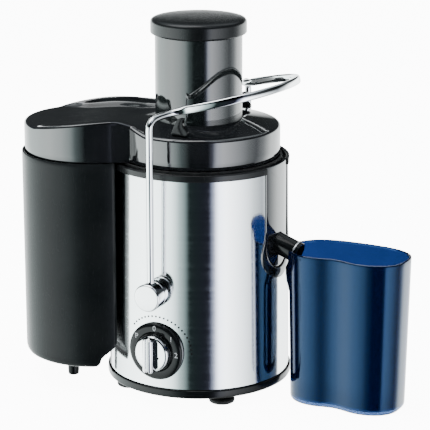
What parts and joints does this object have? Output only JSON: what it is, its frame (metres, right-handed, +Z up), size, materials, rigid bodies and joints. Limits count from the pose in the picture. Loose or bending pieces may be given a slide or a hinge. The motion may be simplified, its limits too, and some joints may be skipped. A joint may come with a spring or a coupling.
{
  "type": "centrifugal juicer",
  "caption": "Centrifugal juicer with a steel-wrapped motor base, smoked cover with feed chute and pusher, chrome locking arm, side pulp bin and blue juice jug.",
  "frame": {"origin": "centre of the footprint's bounding box, on the surface it stands on", "axes": "+Z up along the motor axis, +X towards the juice spout and jug, -Y towards the control dial"},
  "size_m": [0.4081, 0.237, 0.385],
  "materials": {
    "steel": "vertical brush lines, satin",
    "chrome": "bright plated",
    "black_gloss": "polished black moulding",
    "black_satin": "satin black moulding",
    "charcoal": "charcoal moulding, semi-gloss",
    "smoke": "smoke-tinted clear moulding",
    "blue": "blue-tinted clear moulding",
    "rubber": "moulded rubber",
    "laminate": "steel laminations, bare",
    "copper": "copper windings and bars"
  },
  "bodies": {
    "base": {"steel_wrap": "steel", "spout_ring": "steel", "lower_bearing": "steel", "upper_bearing": "steel", "base_screw_1": "steel", "base_screw_2": "steel", "base_screw_3": "steel", "base_screw_4": "steel", "motor_screw_1": "steel", "motor_screw_2": "steel", "motor_screw_3": "steel", "motor_screw_4": "steel", "motor_housing": "black_gloss", "base_skirt": "black_gloss", "notch_trim": "black_gloss", "dial_bezel": "black_gloss", "front_pivot_pin": "black_gloss", "rear_pivot_pin": "black_gloss", "juice_spout": "black_gloss", "front_catch_lug": "black_gloss", "rear_catch_lug": "black_gloss", "base_plate": "black_satin", "top_collar": "black_satin", "bowl_deck": "black_satin", "lower_motor_bracket": "charcoal", "upper_motor_bracket": "charcoal", "rotary_switch": "charcoal", "cover": "smoke", "juice_bowl": "smoke", "rubber_foot_1": "rubber", "rubber_foot_2": "rubber", "rubber_foot_3": "rubber", "rubber_foot_4": "rubber", "shaft_seal": "rubber", "bowl_seal": "rubber", "cord_inlet": "rubber", "motor_field": "laminate", "field_coils": "copper", "left_brush_holder": "copper", "right_brush_holder": "copper"},
    "drive": {"motor_shaft": "steel", "motor_armature": "laminate", "commutator": "copper", "cooling_fan": "black_satin", "drive_coupling": "black_satin", "basket_hub": "black_satin", "grater_disc": "steel", "sieve_basket": "steel", "basket_rim": "black_satin"},
    "knob": {"control_knob": "chrome"},
    "arm": {"locking_arm": "chrome", "front_pivot_cap": "chrome", "rear_pivot_cap": "chrome"},
    "pusher": {"pusher_tube": "charcoal", "pusher_cap": "black_satin"},
    "bin": {"pulp_bin": "charcoal"},
    "jug": {"juice_jug": "blue"}
  },
  "joints": [
    {"name": "basket_spin", "type": "hinge", "parent": "base", "child": "drive", "pos_m": [-0.02495, 0, 0.2], "axis": [0, 0, 1], "continuous": true},
    {"name": "knob_turn", "type": "hinge", "parent": "base", "child": "knob", "pos_m": [-0.02495, -0.1, 0.0585], "axis": [0, 1, 0], "range_deg": [-55, 92]},
    {"name": "arm_swing", "type": "hinge", "parent": "base", "child": "arm", "pos_m": [-0.02245, 0, 0.121], "axis": [0, 1, 0], "range_deg": [0, 50]},
    {"name": "pusher_lift", "type": "slide", "parent": "base", "child": "pusher", "axis": [0, 0, 1], "range_m": [0, 0.1]},
    {"name": "bin_pull", "type": "slide", "parent": "base", "child": "bin", "axis": [-0.9563, -0.2924, 0], "range_m": [0, 0.12]},
    {"name": "jug_pull", "type": "slide", "parent": "base", "child": "jug", "axis": [1, 0, 0], "range_m": [0, 0.1]}
  ]
}
